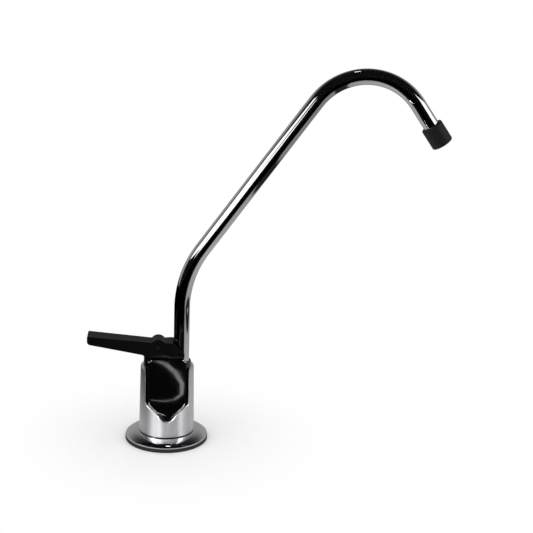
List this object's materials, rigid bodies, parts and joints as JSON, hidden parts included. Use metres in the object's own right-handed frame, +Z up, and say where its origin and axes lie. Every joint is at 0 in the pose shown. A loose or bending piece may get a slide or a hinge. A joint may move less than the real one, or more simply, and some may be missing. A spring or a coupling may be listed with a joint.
{
  "type": "drinking water filter tap",
  "caption": "Long-reach lever tap: a bent chrome tube with a black cap swivels beside a sprung valve in a windowed satin sleeve, on a round flange for a small worktop hole.",
  "frame": {"origin": "centre of the underside of the rubber base washer, on the worktop", "axes": "+Z up out of the worktop, +X towards the outlet, lever towards -X"},
  "size_m": [0.2156, 0.0508, 0.2835],
  "materials": {
    "valve_body": "polished black moulding",
    "body_sleeve": "satin brushed",
    "escutcheon": "polished",
    "base_washer": "matte",
    "threaded_shank": "machined, threaded",
    "shank_o_ring": "matte",
    "stem_bonnet": "satin black",
    "bonnet_o_ring": "matte",
    "spout_retaining_ring": "plain",
    "clamping_washer": "moulded",
    "lock_washer": "plain",
    "mounting_nut": "machined",
    "spring_washer": "plain",
    "valve_spring": "drawn wire",
    "valve_stem": "machined",
    "stem_o_ring": "matte",
    "seat_washer": "matte",
    "pivot_pin": "plain, darkened",
    "lever": "fine matte",
    "spout_tube": "polished",
    "spout_stub": "machined",
    "spout_o_rings": "matte",
    "nozzle_cap": "fine matte"
  },
  "bodies": {
    "tap_body": {"valve_body": "valve_body", "body_sleeve": "body_sleeve", "escutcheon": "escutcheon", "base_washer": "base_washer", "threaded_shank": "threaded_shank", "shank_o_ring": "shank_o_ring", "stem_bonnet": "stem_bonnet", "bonnet_o_ring": "bonnet_o_ring", "spout_retaining_ring": "spout_retaining_ring", "clamping_washer": "clamping_washer", "lock_washer": "lock_washer", "mounting_nut": "mounting_nut", "spring_washer": "spring_washer", "valve_spring": "valve_spring"},
    "stem": {"valve_stem": "valve_stem", "stem_o_ring": "stem_o_ring", "seat_washer": "seat_washer", "pivot_pin": "pivot_pin"},
    "lever": {"lever": "lever"},
    "spout": {"spout_tube": "spout_tube", "spout_stub": "spout_stub", "spout_o_rings": "spout_o_rings", "nozzle_cap": "nozzle_cap"}
  },
  "joints": [
    {"name": "stem_lift", "type": "slide", "parent": "tap_body", "child": "stem", "axis": [0, 0, 1], "range_m": [0, 0.0015], "deforming": ["valve_spring"]},
    {"name": "lever_press", "type": "hinge", "parent": "stem", "child": "lever", "pos_m": [-0.0057, 0, 0.0606], "axis": [0, -1, 0], "range_deg": [0, 12], "stiffness_Nm_per_rad": 0.077, "springref_deg": -35.98},
    {"name": "spout_swivel", "type": "hinge", "parent": "tap_body", "child": "spout", "pos_m": [0.0085, 0, 0.03], "axis": [0, 0, 1], "continuous": true}
  ],
  "couplings": [
    {"joint": "lever_press", "follows": "stem_lift", "rad_per_m": 139.62}
  ]
}
